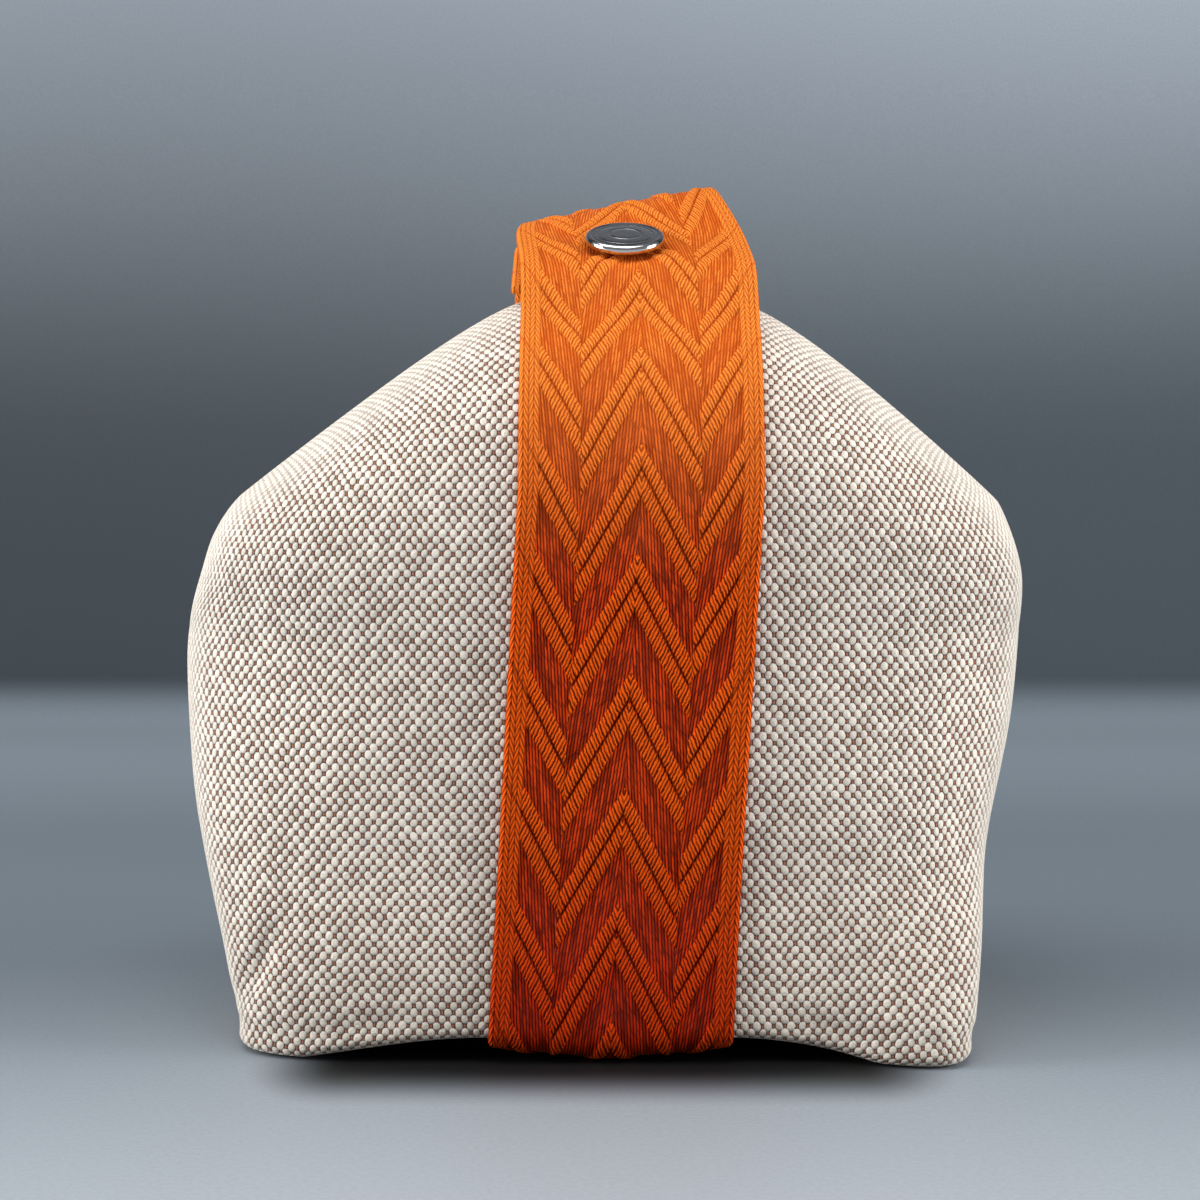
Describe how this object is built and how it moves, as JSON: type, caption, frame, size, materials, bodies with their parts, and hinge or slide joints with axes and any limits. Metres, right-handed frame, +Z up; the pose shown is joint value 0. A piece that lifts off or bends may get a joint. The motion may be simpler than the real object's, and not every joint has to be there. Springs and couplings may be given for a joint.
{
  "type": "vanity bag",
  "caption": "Soft boxed-bottom canvas toiletry pouch with a tent-shaped zipped top and one wide patterned webbing strap that wraps the body and snaps shut over the ridge.",
  "frame": {"origin": "on the ground under the middle of the bag", "axes": "+X to the right along the width, +Y to the back through the depth, +Z up"},
  "size_m": [0.1816, 0.1064, 0.176],
  "materials": {
    "canvas": "coarse basket-weave canvas, cream over a tan ground",
    "lining": "plain cotton lining",
    "zip_tape": "woven zip tape",
    "webbing": "orange jacquard webbing with raised chevrons",
    "zip_metal": "nickel plated",
    "snap_metal": "polished"
  },
  "bodies": {
    "bag_body": {"canvas_front": "canvas", "canvas_back": "canvas", "lining_front": "lining", "lining_back": "lining", "lining_pocket": "lining", "zip_tape_front": "zip_tape", "zip_tape_back": "zip_tape", "zip_teeth_front": "zip_metal", "zip_teeth_back": "zip_metal", "zip_stop_left": "zip_metal", "zip_stop_right": "zip_metal", "zip_tab_left": "zip_tape", "zip_tab_right": "zip_tape", "strap_wrap": "webbing", "strap_tongue": "webbing", "snap_stud": "snap_metal", "snap_post": "snap_metal"},
    "flap": {"strap_flap": "webbing", "snap_cap": "snap_metal", "snap_socket": "snap_metal"},
    "slider": {"zip_slider": "zip_metal", "zip_slider_base": "zip_metal"},
    "pull": {"zip_pull": "zip_metal"}
  },
  "joints": [
    {"name": "strap_flap_hinge", "type": "hinge", "parent": "bag_body", "child": "flap", "pos_m": [0.007, -0.02936, 0.15149], "axis": [1, 0, 0], "range_deg": [0, 140]},
    {"name": "zip_slider_travel", "type": "hinge", "parent": "bag_body", "child": "slider", "pos_m": [0.003, 0, 0.063], "axis": [0, -1, 0], "range_deg": [0, 90]},
    {"name": "zip_pull_hinge", "type": "hinge", "parent": "slider", "child": "pull", "pos_m": [0.0642, 0, 0.12717], "axis": [0, 1, 0], "range_deg": [0, 140]}
  ]
}
